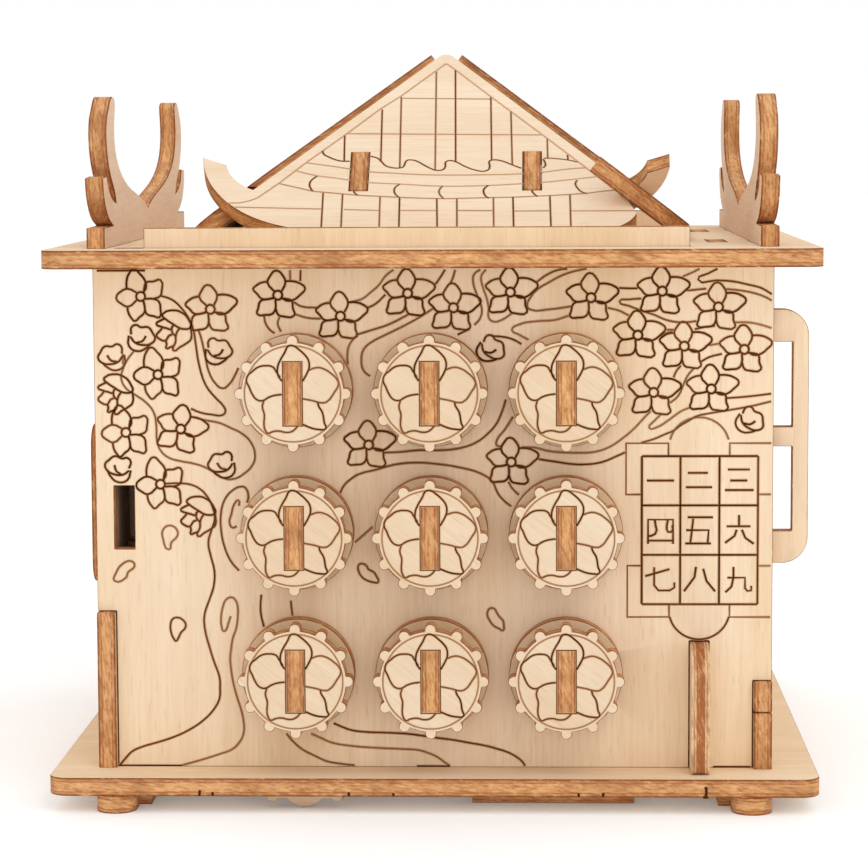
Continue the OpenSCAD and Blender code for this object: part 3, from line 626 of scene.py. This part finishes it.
LOOSE_PETALS = [
    pairs(p)
    for p in (
        (-67.1, 47.2, -66.8, 48.7, -65.3, 50.8, -63.3, 51.3, -62.8, 50.3, -64.2, 49, -64.7, 47.8, -67.1,
         47.2),
        (-55.5, 53.8, -56.7, 56, -56.7, 58, -55.3, 58.9, -53.8, 58, -53.7, 56.7, -55, 55.3, -55.5, 53.8),
        (-54.3, 34.4, -53.8, 35, -53.2, 36.2, -52.3, 37.2, -52.2, 38, -52.8, 38.9, -54, 39.4, -55, 39,
         -55.4, 37.7,
         -55.3, 36.3, -54.7, 34.8, -54.3, 34.4),
        (-15.7, 50.5, -14.8, 50.8, -14, 50.3, -13.7, 49.7, -12.5, 49, -12, 48.2, -11.6, 46.9, -12.7,
         46.9, -14, 47.3,
         -15, 48, -15.6, 49, -15.7, 50.5),
        (11.3, 39.7, 11.3, 40.7, 11.8, 41.4, 12.7, 41.3, 13.2, 40.5, 13.7, 39.7, 14.5, 38.8, 14.7, 37.7,
         14.5, 36.7,
         13.7, 37.1, 12.5, 37.8, 11.8, 38.7, 11.3, 39.7),
    )
]
# Number table: its frame, its grid and plain strokes for the numbers one to nine
TABLE_FRAME = [
    pairs(p)
    for p in (
        (49, 73.4, 49, 76.1, 40.2, 76.1, 40.2, 65.4, 43.5, 65.4),
        (61.7, 73.4, 61.7, 76.1, 70.3, 76.1),
        (67.7, 65.4, 70.3, 65.4),
        (67.8, 50.4, 70.3, 50.4),
        (43.5, 50.4, 40.5, 50.4, 40.5, 39.6, 49.2, 39.6, 49.2, 42.3),
        (61.8, 42.3, 61.8, 39.6, 70.3, 39.6),
    )
]
TABLE_ARCS = [part_ring(55.4, 75.2, 6.3, 15, 165), part_ring(55.5, 41.3, 6.4, 195, 345)]
TABLE_GRID = [[(x, 73.4), (x, 42.3)] for x in (43.5, 51.5, 59.6, 67.6)] + [
    [(43.5, z), (67.6, z)] for z in (73.4, 63.1, 52.7, 42.3)
]
NUMBERS = [
    pairs(p)
    for p in (
        (44.5, 68.3, 50.2, 68.3),
        (53, 69.9, 57.2, 69.9),
        (52.6, 66.9, 58.1, 66.9),
        (61.3, 70.6, 65.9, 70.6),
        (61.8, 68.3, 65.4, 68.3),
        (60.7, 66.3, 66.7, 66.3),
        (44.8, 55, 44.8, 60.1, 50, 60.1, 50, 55),
        (44.8, 55.7, 50, 55.7),
        (46.2, 60, 46.4, 58.8, 46.6, 57.9, 46.3, 57.1, 45.5, 56.7, 44.7, 56.6),
        (48.9, 60, 48.7, 58.8, 48.7, 58.1, 49, 57.5, 49.6, 57.5, 50, 58.1, 49.8, 58.9),
        (53, 60.6, 58.3, 60.6),
        (54.2, 60.3, 53.6, 55.2),
        (52.7, 57.9, 57.4, 57.9, 57.2, 55.2),
        (52.5, 55.1, 57.9, 55.1),
        (63.7, 61.1, 63.7, 58.8),
        (61.1, 58.7, 66.1, 58.7),
        (63.2, 58, 62.8, 56.7, 60.8, 55.2),
        (64.3, 58, 65, 56.3, 66.8, 55),
        (44.2, 48.2, 49.3, 49.7),
        (46.1, 50.1, 46.1, 46.3, 47, 45.2, 49.3, 45.2, 50.3, 45.8, 50.3, 46.9),
        (54.8, 50.2, 54.5, 48, 52.3, 45),
        (56.3, 49.8, 57, 47.2, 58.8, 45),
        (62.6, 50.2, 62.6, 48, 62.2, 46, 60.9, 44.8),
        (61.3, 47.9, 65, 47.9, 65, 45.7, 65.5, 45.1, 66.3, 45.2, 66.3, 46.2),
    )
]
# Scorch nicks along the base plate's front edge, measured from the plate's underside
NICKS = [
    pairs(p)
    for p in (
        (56.3, 0.1, 56.5, 1, 56.4, 2.3), (55.8, 0.1, 56.9, 0.1), (35.2, 0.1, 35.3, 1), (30.2, 0.1, 30.2,
         0.9),
        (-8.1, 0.1, -8.1, 0.8), (-17.3, 0.1, -17.4, 1), (-45.6, 0.1, -45.7, 0.9), (-48.4, 0.1, -48.3,
         1.3),
    )
]
# Burnt stretches of the front panel's lower and upper edges
RIMS = [
    [(-66.9, 7.75), (-53.3, 7.75)], [(-3.7, 7.75), (3.3, 7.75)], [(58.5, 7.8), (66.4, 7.8)],
    [(-69.8, 112.3), (-59.7, 112.3)],
]
# Big blossom on each dial, about the dial's middle
DIAL_PETALS = [
    pairs(p)
    for p in (
        (-2.1, 2.6, -2.9, 3.8, -3, 5.4, -2.5, 6.8, -1.5, 8.5, -0.9, 9.7, -0.5, 9.9, 0.4, 9.8, 1.4, 9.1,
         2.6, 8, 3.3, 7,
         3.5, 5.6, 3.2, 4.6, 2.1, 2.6),
        (-2.5, 3.4, -3.3, 4.6, -3.9, 5.5, -5.4, 5.8, -7, 5.5, -8.2, 4.6, -9.1, 3.8, -9.4, 2.6, -8.9,
         1.5, -8.2, -0.1,
         -7.4, -1.1, -6.2, -1.4, -4.9, -0.7, -3.7, -0.3, -2.2, -0.1),
        (-5.9, -1.5, -6.2, -2.6, -5.8, -4.2, -5.9, -6.2, -5.7, -7.3, -5.1, -8.1, -4.3, -7.8, -2.9, -7.6,
         -1.5, -7.9,
         -0.4, -7.8, 0.4, -7.3, 1, -6.6),
        (3.2, 4.8, 5.1, 5.4, 6.5, 5.1, 7.8, 4.3, 9.4, 2.5, 9.4, 1.7, 8.7, 0.5, 6.9, -1.7, 5.7, -1.8,
         4.2, -1.4,
         2.1, -1),
        (5.2, -1.8, 5.3, -2.4, 6.1, -3.8, 6.5, -6, 6.8, -7.1, 5.3, -7.3, 3.8, -7, 2.1, -6.3),
    )
]
# Roof panel: u runs along the foot and v up the slope
ROOF_DARK = [
    pairs(p)
    for p in (
        (-20.5, 39.8, -20.2, 30.4), (-12.6, 49.8, -12.2, 30), (-8.5, 54.6, -8, 27.7), (-0.9, 64.5, -0.3,
         26.8),
        (3.4, 65, 4.1, 29.8), (11.5, 54.3, 11.9, 30.5), (16, 48.8, 16.4, 28.6), (24, 38.3, 24.1, 31.2),
        (28.4, 32.3, 28.5, 30.3),
        (-24.2, 18.8, -24, 6.2), (-20, 18.3, -19.8, 6.2), (-11.9, 17.4, -11.7, 6.2), (-7.7, 17, -7.5,
         6.2),
        (0.3, 16.6, 0.6, 6.2), (4.6, 16.6, 4.8, 6.2), (12.4, 16.9, 12.6, 6.2), (16.6, 17, 16.8, 6.2),
        (24.5, 17.4, 24.7, 6.2), (28.8, 17.8, 28.9, 6.2),
    )
]
ROOF_WAVES = [
    pairs(p)
    for p in (
        (-25.1, 34.1, -24.8, 33, -23.5, 31.8, -21, 30.4, -19, 30.3),
        (-14.5, 32.1, -13, 31.4, -12, 30, -11, 28.5, -9.5, 27.8, -8.3, 27.7, -7.3, 28.1, -6.9, 29.5,
         -6.5, 30.5,
         -5.8, 30.7, -4.5, 30.3, -2.5, 28.5, -1, 27.3, 0, 26.8, 1.3, 27, 1.9, 28.3, 1.9, 29.8, 2.8,
         30.4, 4.3, 29.8,
         6, 28.3, 8.5, 26.8, 10.3, 26.4, 11.3, 27.1, 11.5, 28.5, 11.4, 30, 12, 30.5, 13.8, 30.3, 15.5,
         29.3, 17, 28.3,
         18.4, 27.4),
        (23.1, 30.8, 23.5, 29.5, 23.6, 28.5, 23.1, 27.5),
        (23.2, 31.1, 25.5, 31, 28.8, 30.3, 30.6, 29.6),
        (-25.8, 24.9, -26.9, 23.5, -27.3, 21.8, -27, 20.5, -26.5, 19.4),
        (-17.8, 19.9, -17.3, 18.5, -16.7, 17.9),
        (-7.8, 21.9, -8.8, 20.5, -8.9, 19, -8.4, 17.8, -7.8, 17.1),
        (1.5, 21.1, 0.8, 19.8, 0.8, 18.3, 1.8, 16.5),
        (11.3, 21.3, 10.4, 20, 10.3, 18.8, 10.8, 17.3, 11.5, 16.6),
        (20.5, 19.8, 21, 18.3, 21.9, 17.1),
        (30.4, 23, 30, 21.8, 30.5, 20, 31.3, 18.8, 32.5, 18.1),
    )
]
ROOF_LIGHT = [
    pairs(p)
    for p in (
        (-8.3, 54.1, 11.5, 53.6),
        (-19.8, 40.6, 22.8, 39.8),
        (-28.5, 29.8, -25, 29, -22, 28.3, -19, 27.5, -14, 26.3, -10, 25.9, -5, 25.4, 0, 25.1, 10, 25.1,
         18.3, 25.4,
         23.3, 26, 27, 26.8, 30, 27.3, 32.5, 27.5),
        (-30.8, 27, -28, 25.8, -25.8, 25, -22, 24.2, -18.8, 23.4, -14, 22.4, -8, 21.9, 0, 21.1, 5, 21,
         11, 21.2,
         18.5, 21.8, 23.3, 22.3, 27, 22.9, 30.5, 23.5, 35, 24.3),
        (-34, 22.3, -31.5, 21.3, -29, 20.4, -26.8, 19.5, -24, 19, -20, 18.4, -16.8, 17.9, -12.5, 17.5,
         -8, 17.1,
         0, 16.6, 5, 16.6, 12.5, 16.9, 17, 17, 21.5, 17.3, 24.5, 17.5, 29, 17.9, 32.5, 18.3, 36, 19,
         38.5, 19.4),
        (-43, 13.8, -24, 13), (-19.5, 12.8, -12, 12.4), (-7.5, 12.4, 0.3, 12.3), (4.8, 12.3, 12.5, 12.2),
        (16.8, 12, 24.5, 12.1), (29, 12, 43.3, 12),
    )
]
ROOF_RAKE = [
    pairs(p)
    for p in (
        (-44.3, 15.3, -42, 15.3, -40, 16, -38.3, 17, -33.8, 22.5, -28.5, 29.8, -20.5, 40, -13, 50, -8.5,
         55, -1, 64.8,
         1.3, 67.7),
        (1.3, 67.7, 3.3, 65.3, 11.5, 54.5, 24, 38.5, 32, 28, 38.5, 19.3),
    )
]


# ------------------------------------------------------------------ pieces


# Share of a slope's height that the tile pattern takes
TILE_FIT = 0.965


def roof_frame(turn):
    """Drawing plane of one roof panel: u along its foot, v up the slope, height out of its face."""
    size = sizes()
    pitch = atan2(size.roof_rise, size.roof_half)
    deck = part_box("top_plate")[1].z
    shift = Matrix.Translation((size.roof_x, 0, 0))
    face = Matrix.Rotation(turn * pi / 2, 4, "Z") @ Matrix.Translation((0, -size.roof_half, deck))
    return shift @ face @ Matrix.Rotation(pitch, 4, "X")


class BOX_OT_plates(Operator):
    """Base plate and top plate, with banded cut edges"""

    bl_idname = "puzzle_box.plates"
    bl_label = "Plates"

    def execute(self, context):
        for node in ("base_plate", "top_plate"):
            board(node, (0, 0, 1), "face", "X")
        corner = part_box("base_plate")[0] / MM
        plane = front_plane(corner.y, z_mm=corner.z)
        engrave("nicks", "base_plate", [(NICKS, 1.0, False, 0.9)], plane, on_edge=True)
        return {"FINISHED"}


class BOX_OT_front(Operator):
    """Front panel with its burnt blossom branches and number table"""

    bl_idname = "puzzle_box.front"
    bl_label = "Front panel"

    def execute(self, context):
        board("front_panel", (0, 1, 0), "face", "Z")
        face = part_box("front_panel")[0].y / MM
        flowers = [s for x, z in BLOSSOMS for s in placed(BLOSSOM, x, z)]
        flowers += [s for x, z, turn in TURNED_BLOSSOMS for s in placed(BLOSSOM, x, z, turn)]
        flowers += [s for x, z in SIDE_BLOSSOMS for s in placed(SIDE_BLOSSOM, x, z)]
        flowers += [s for x, z, turn, flip in BUDS for s in placed(BUD, x, z, turn, flip)]
        engrave(
            "branches",
            "front_panel",
            [
                (flowers, 1.0, True, 0.95),
                (BRANCHES + LOOSE_PETALS + TABLE_ARCS, 0.95, True, 0.88),
                (TABLE_GRID + RIMS, 1.0, False, 0.95),
                (TABLE_FRAME, 0.93, False, 0.85),
                (NUMBERS, 1.0, False, 0.95),
            ],
            front_plane(face),
        )
        return {"FINISHED"}


class BOX_OT_walls(Operator):
    """Back panel, side walls and inner wall"""

    bl_idname = "puzzle_box.walls"
    bl_label = "Walls"

    def execute(self, context):
        board("back_panel", (0, 1, 0), "face", "Z")
        board("left_wall", (1, 0, 0), "inner", "Z")
        board("right_wall", (1, 0, 0), "inner", "Z")
        board("inner_wall", (1, 0, 0), "inner", "Z")
        return {"FINISHED"}


class BOX_OT_works(Operator):
    """Rails, shelf and guides inside the box"""

    bl_idname = "puzzle_box.works"
    bl_label = "Works"

    def execute(self, context):
        board("slider_rails", (0, 1, 0), "inner", "X")
        board("drawer_shelf", (0, 0, 1), "inner", "X")
        board("drawer_guides", (0, 0, 1), "inner", "X")
        board("key_guide", (1, 0, 0), "inner", "Y")
        return {"FINISHED"}


class BOX_OT_feet(Operator):
    """Feet, bottom slider and its guides"""

    bl_idname = "puzzle_box.feet"
    bl_label = "Feet"

    def execute(self, context):
        board("feet", (0, 0, 1), "face", "X")
        board("bottom_slider", (0, 0, 1), "inner", "X")
        board("bottom_grip", (0, 1, 0), "wing", "X")
        board("bottom_guides", (0, 0, 1), "inner", "X")
        return {"FINISHED"}


class BOX_OT_wings(Operator):
    """Two wings that cradle a rod"""

    bl_idname = "puzzle_box.wings"
    bl_label = "Wings"

    def execute(self, context):
        for node in ("wing_left", "wing_right"):
            board(node, (1, 0, 0), "wing", "Y")
        return {"FINISHED"}


# Half the height of the tab in a dial, and how far its scorched rim stands off it, in millimetres
TAB_HALF, TAB_RIM = 6.6, 0.1
# Radius of the ring engraved round a dial's blossom, in millimetres
DIAL_RING = 9.85


class BOX_OT_dials(Operator):
    """Nine dials with their shafts, washers and keepers"""

    bl_idname = "puzzle_box.dials"
    bl_label = "Dials"

    def execute(self, context):
        board("dial_washers", (0, 1, 0), "inner", "DIAGONAL")
        size = sizes()
        for i in range(1, 10):
            face = f"dial_face_{i}"
            low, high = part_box(face)
            middle = (low + high) / 2
            board(face, (0, 1, 0), "dial", "DIAGONAL")
            # Scorched rim of the slot that the shaft's tab fills
            w, h = size.ply / 2 / MM + TAB_RIM, TAB_HALF
            rim = [(-w, -h), (w, -h), (w, h), (-w, h), (-w, -h)]
            engrave(
                f"blossom_{i}",
                face,
                [
                    (DIAL_PETALS, 0.97, True, 0.82),
                    ([ring(0, 0, DIAL_RING, 24)], 0.88, True, 0.6),
                    ([rim], 0.95, False, 0.7),
                ],
                front_plane(low.y / MM, middle.x / MM, middle.z / MM),
            )
            board(f"dial_shaft_{i}", (1, 0, 0), "face", "Z")
            board(f"dial_keeper_{i}", (0, 1, 0), "inner", "DIAGONAL")
        return {"FINISHED"}


class BOX_OT_lock_slider(Operator):
    """Lock slider with its window-shaped grip"""

    bl_idname = "puzzle_box.lock_slider"
    bl_label = "Lock slider"

    def execute(self, context):
        board("lock_slider", (0, 1, 0), "face", "Z")
        return {"FINISHED"}


class BOX_OT_drawer(Operator):
    """Side drawer with its face"""

    bl_idname = "puzzle_box.drawer"
    bl_label = "Side drawer"

    def execute(self, context):
        board("drawer_face", (1, 0, 0), "face", "Y")
        board("drawer_floor", (0, 0, 1), "face", "X")
        board("drawer_side_front", (0, 1, 0), "face", "X")
        board("drawer_side_back", (0, 1, 0), "face", "X")
        board("drawer_end", (1, 0, 0), "face", "Y")
        return {"FINISHED"}


class BOX_OT_key(Operator):
    """Pull key"""

    bl_idname = "puzzle_box.key"
    bl_label = "Pull key"

    def execute(self, context):
        board("pull_key", (1, 0, 0), "face", "Y", edge="dark core")
        return {"FINISHED"}


class BOX_OT_roof(Operator):
    """Four leaning roof panels with burnt tiles and planks, and the ribs under them"""

    bl_idname = "puzzle_box.roof"
    bl_label = "Roof"

    def execute(self, context):
        size = sizes()
        for turn, node in enumerate(("roof_front", "roof_right", "roof_back", "roof_left")):
            place = roof_frame(turn)
            out = place.to_3x3() @ Vector((0, 0, 1))
            middle = (place @ Vector((0, 0, -size.ply / 2))).dot(out)
            board(node, out, "roof", "Y" if turn % 2 else "X", [middle])
            fitted = Matrix.Translation((-size.roof_x, 0, 0)) @ Matrix.Diagonal((1, TILE_FIT, 1, 1))
            engrave(
                f"tiles_{turn + 1}",
                node,
                [
                    (ROOF_DARK, 0.96, False, 0.72),
                    (ROOF_WAVES, 0.97, True, 0.8),
                    (ROOF_LIGHT, 0.86, True, 0.7),
                    (ROOF_RAKE, 0.82, False, 0.7),
                ],
                place @ fitted,
            )
        ribs = [size.roof_x + size.rib_off + side * size.rib_x for side in (-1, 1)]
        board("roof_ribs", (1, 0, 0), "face", "Z", ribs)
        return {"FINISHED"}


# Where the camera stands, in metres, and its lens and sensor in millimetres
EYE = (0.0216, -0.683, 0.1396)
LENS, SENSOR = 123.1, 36
# How far the camera turns to the left, tilts down and rolls
TURN, TILT, ROLL = radians(1.99), radians(5.71), radians(-0.27)
# Each soft light's name, place and size in metres, and its power in watts. They point at AIM.
LIGHTS = (("key", (0.55, -1.0, 1.25), 0.9, 3.6), ("fill", (0.1, -1.3, 0.45), 1.2, 0.9))
AIM = Vector((0, 0, 0.06))
FLOOR_HALF = 6


class BOX_OT_stage(Operator):
    """Camera, soft studio light and a plain pale floor with a painted glow"""

    bl_idname = "puzzle_box.stage"
    bl_label = "Stage"

    def execute(self, context):
        scene = context.scene
        floor = bmesh.new()
        bmesh.ops.create_grid(floor, x_segments=1, y_segments=1, size=FLOOR_HALF)
        mesh = bpy.data.meshes.new("studio_floor")
        floor.to_mesh(mesh)
        floor.free()
        mesh.materials.append(studio_floor("White floor with painted glow"))
        ground = bpy.data.objects.new("studio_floor", mesh)
        scene.collection.objects.link(ground)

        data = bpy.data.cameras.new("camera")
        data.sensor_width = SENSOR
        data.lens = LENS
        data.clip_start = 0.01
        data.clip_end = 50
        data.dof.use_dof = False
        camera = bpy.data.objects.new("camera", data)
        right = Vector((cos(TURN), sin(TURN), 0))
        ahead = Vector((-sin(TURN) * cos(TILT), cos(TURN) * cos(TILT), -sin(TILT)))
        up = right.cross(ahead)
        right, up = right * cos(ROLL) + up * sin(ROLL), up * cos(ROLL) - right * sin(ROLL)
        pose = Matrix((right, up, -ahead)).transposed().to_4x4()
        pose.translation = EYE
        camera.matrix_world = pose
        scene.collection.objects.link(camera)
        scene.camera = camera

        world = bpy.data.worlds.new("studio")
        world.use_nodes = True
        sky = world.node_tree.nodes["Background"]
        sky.inputs["Color"].default_value = (1, 1, 1, 1)
        sky.inputs["Strength"].default_value = 1.0
        scene.world = world
        for name, place, size, watts in LIGHTS:
            light = bpy.data.lights.new(name, "AREA")
            light.energy = watts
            light.size = size
            lamp = bpy.data.objects.new(name, light)
            lamp.location = place
            lamp.rotation_euler = (AIM - Vector(place)).to_track_quat("-Z", "Y").to_euler()
            scene.collection.objects.link(lamp)
        scene.view_settings.view_transform = "Standard"
        return {"FINISHED"}


OPERATORS = (
    BOX_OT_plates, BOX_OT_front, BOX_OT_walls, BOX_OT_works, BOX_OT_feet, BOX_OT_wings, BOX_OT_dials,
    BOX_OT_lock_slider, BOX_OT_drawer, BOX_OT_key, BOX_OT_roof, BOX_OT_stage,
)


class BOX_PT_panel(Panel):
    """Lists the pieces of the puzzle box"""

    bl_label = "Puzzle box"
    bl_idname = "BOX_PT_panel"
    bl_space_type = "VIEW_3D"
    bl_region_type = "UI"
    bl_category = "Puzzle box"

    def draw(self, context):
        for group in (context.scene.box_sizes, context.scene.box_finishes):
            for name in type(group).__annotations__:
                self.layout.prop(group, name)
        for operator in OPERATORS:
            self.layout.operator(operator.bl_idname)


CLASSES = (BoxSizes, BoxFinishes, *OPERATORS, BOX_PT_panel)


def register():
    for cls in CLASSES:
        bpy.utils.register_class(cls)
    bpy.types.Scene.box_sizes = PointerProperty(type=BoxSizes)
    bpy.types.Scene.box_finishes = PointerProperty(type=BoxFinishes)


def unregister():
    del bpy.types.Scene.box_sizes
    del bpy.types.Scene.box_finishes
    for cls in reversed(CLASSES):
        bpy.utils.unregister_class(cls)


def main():
    register()
    for operator in OPERATORS:
        group, name = operator.bl_idname.split(".")
        getattr(getattr(bpy.ops, group), name)()


if __name__ == "__main__":
    main()
